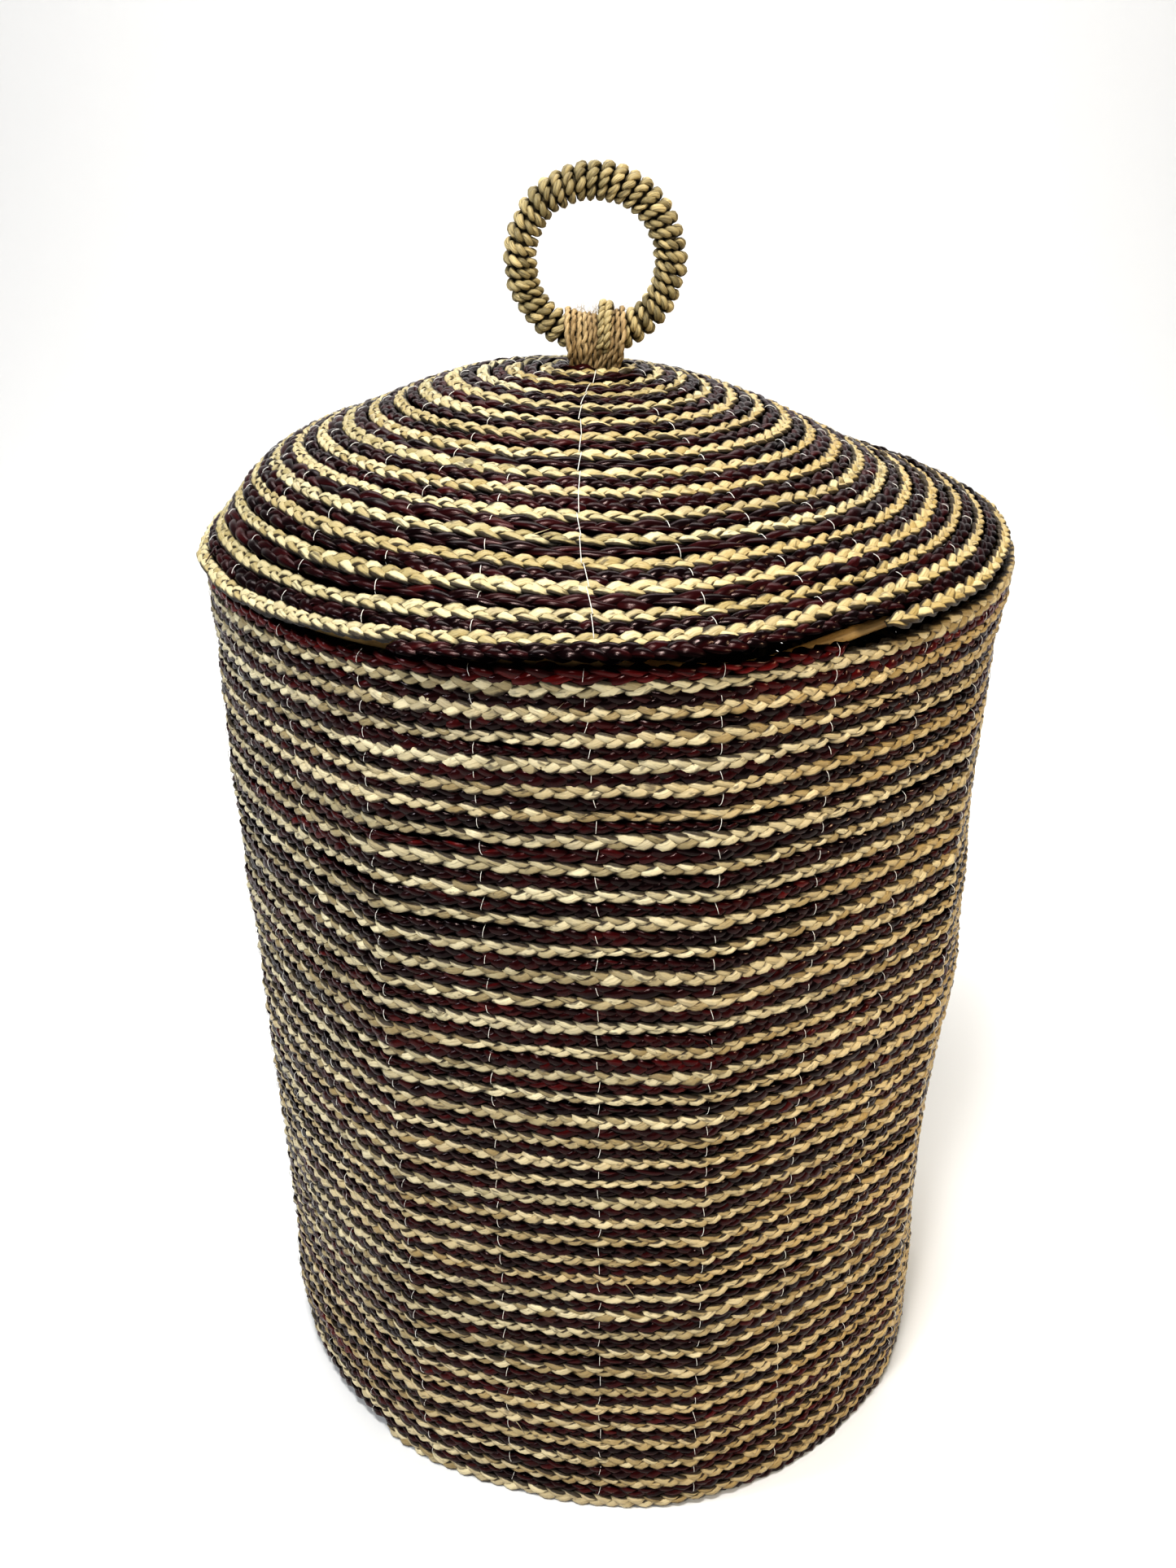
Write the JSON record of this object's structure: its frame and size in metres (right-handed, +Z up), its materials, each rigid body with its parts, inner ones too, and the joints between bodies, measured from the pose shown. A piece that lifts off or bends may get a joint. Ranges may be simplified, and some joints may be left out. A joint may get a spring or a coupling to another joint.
{
  "type": "woven laundry hamper",
  "caption": "Tall round coiled-rope laundry hamper in striped pale and dark rope, with a domed lift-off lid and a wound ring handle.",
  "frame": {"origin": "middle of the base's underside, on the floor", "axes": "+Z up along the hamper's axis, the front with the ring handle's open face towards -Y, +X to the right seen from the front"},
  "size_m": [0.4786, 0.4786, 0.7739],
  "materials": {
    "straw_rope": "plaited dried leaf, pale straw, lightly varnished",
    "dark_rope": "plaited dried leaf dyed near-black maroon, glossy",
    "cane": "smooth rattan cane, satin",
    "thread": "thin translucent nylon thread",
    "jute_twine": "hairy golden-brown twine, matt",
    "seagrass_cord": "two-ply twisted seagrass cord, satin"
  },
  "bodies": {
    "basket": {"wall_rope_light": "straw_rope", "wall_rope_dark": "dark_rope", "base_rope_light": "straw_rope", "base_rope_dark": "dark_rope", "rim_hoop": "cane", "base_hoop": "cane", "stake_1": "cane", "stake_2": "cane", "stake_3": "cane", "stake_4": "cane", "stake_5": "cane", "stake_6": "cane", "stake_7": "cane", "stake_8": "cane", "base_cross_bar_1": "cane", "base_cross_bar_2": "cane", "wall_stitching": "thread", "base_stitching": "thread"},
    "lid": {"lid_rope_light": "straw_rope", "lid_rope_dark": "dark_rope", "lid_hoop": "cane", "lid_rib_1": "cane", "lid_rib_2": "cane", "lid_rib_3": "cane", "lid_rib_4": "cane", "lid_stitching": "thread", "handle_lashing": "jute_twine", "lashing_knot": "jute_twine"},
    "ring": {"ring_core": "cane", "ring_wrap": "seagrass_cord"}
  },
  "joints": [
    {"name": "lid_lift", "type": "slide", "parent": "basket", "child": "lid", "axis": [0, 0, 1], "range_m": [0, 0.4]},
    {"name": "ring_tilt", "type": "hinge", "parent": "lid", "child": "ring", "pos_m": [-0.007, 0, 0.6799], "axis": [1, 0, 0], "range_deg": [-75, 75]}
  ]
}
